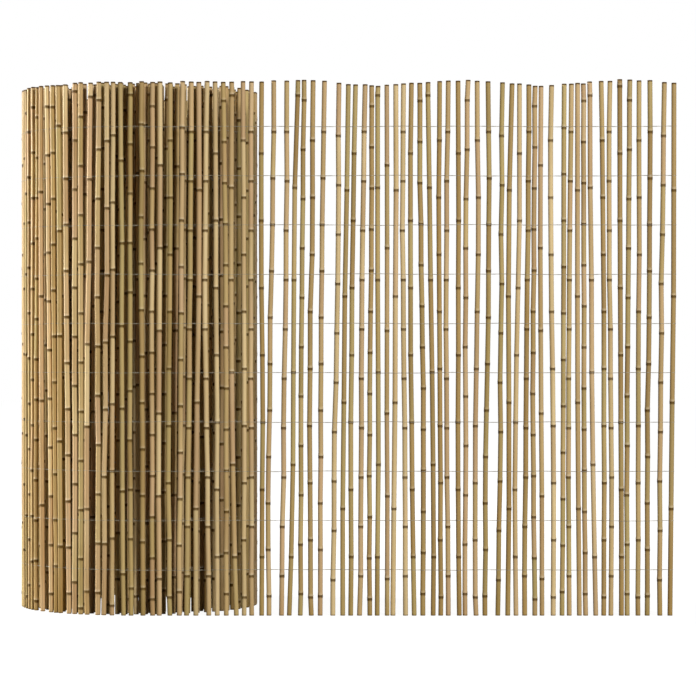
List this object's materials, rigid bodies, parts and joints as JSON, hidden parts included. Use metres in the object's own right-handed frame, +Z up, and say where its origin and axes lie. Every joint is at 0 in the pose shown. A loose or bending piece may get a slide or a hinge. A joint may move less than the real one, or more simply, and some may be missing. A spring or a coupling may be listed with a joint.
{
  "type": "bamboo cane screening roll",
  "caption": "Roll of garden screening made of whole bamboo canes held side by side by rows of wire, standing on end and partly drawn out.",
  "frame": {"origin": "under the middle of the outline, on the ground that the canes stand on", "axes": "+Z up along the canes, +X along the drawn-out stretch towards its free edge, -Y towards the side of the mat that faces the viewer"},
  "size_m": [1.2569, 0.474, 1.0053],
  "materials": {
    "cane": "dry natural bamboo skin, dull sheen, brown rings at the knots",
    "wire": "thin galvanised wire, dull grey"
  },
  "bodies": {
    "root": {"open_canes": "cane", "outer_turn_canes": "cane", "middle_turn_canes": "cane", "inner_turn_canes": "cane", "wire_row_1": "wire", "wire_row_2": "wire", "wire_row_3": "wire", "wire_row_4": "wire", "wire_row_5": "wire", "wire_row_6": "wire", "wire_row_7": "wire", "wire_row_8": "wire", "wire_row_9": "wire", "wire_row_10": "wire"}
  },
  "joints": []
}
